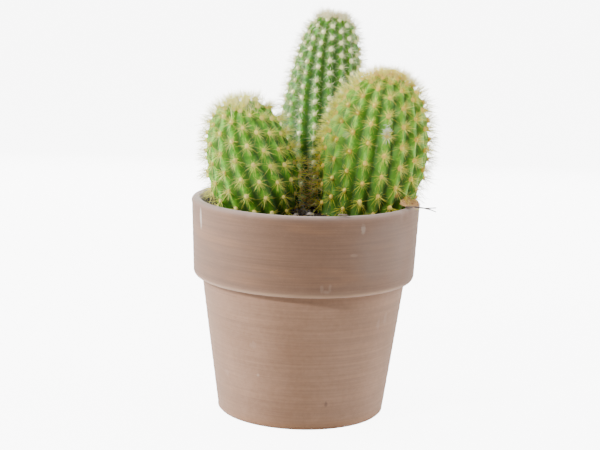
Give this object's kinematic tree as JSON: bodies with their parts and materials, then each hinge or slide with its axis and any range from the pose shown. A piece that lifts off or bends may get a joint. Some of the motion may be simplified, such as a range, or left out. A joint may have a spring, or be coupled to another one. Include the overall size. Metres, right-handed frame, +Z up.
{
  "type": "potted columnar cactus",
  "caption": "Clump of ribbed, spiny cactus stems growing in gritty soil in a round clay pot with a thick collar; stands on its flat foot.",
  "frame": {"origin": "bottom centre of the whole plant's bounding box, on the plane that the pot stands on; the pot's own axis is 3.5 mm to -X and 2.1 mm to -Y of it, because the right stem's side leans out over the rim and the tall stem leans back", "axes": "+Z up, -Y the front, +X to the right seen from the front"},
  "size_m": [0.127, 0.1242, 0.2076],
  "materials": {
    "clay": "bare fired clay, matt, grey-brown with pale bloom",
    "soil": "dry peaty potting soil, matt",
    "stem": "living green skin, satin, with cream wool pads and pale spines",
    "grit": "pale rough grit",
    "husk": "dry papery husk",
    "dead_wood": "weathered grey twig"
  },
  "bodies": {
    "root": {"clay_pot": "clay", "potting_soil": "soil", "stem_left": "stem", "stem_tall": "stem", "stem_right": "stem", "grit_stone_01": "grit", "grit_stone_02": "grit", "grit_stone_03": "grit", "grit_stone_04": "grit", "grit_stone_05": "grit", "grit_stone_06": "grit", "grit_stone_07": "grit", "grit_stone_08": "grit", "grit_stone_09": "grit", "grit_stone_10": "grit", "grit_stone_11": "grit", "grit_stone_12": "grit", "stone_flake": "grit", "dried_husk": "husk", "dead_twig": "dead_wood"}
  },
  "joints": []
}
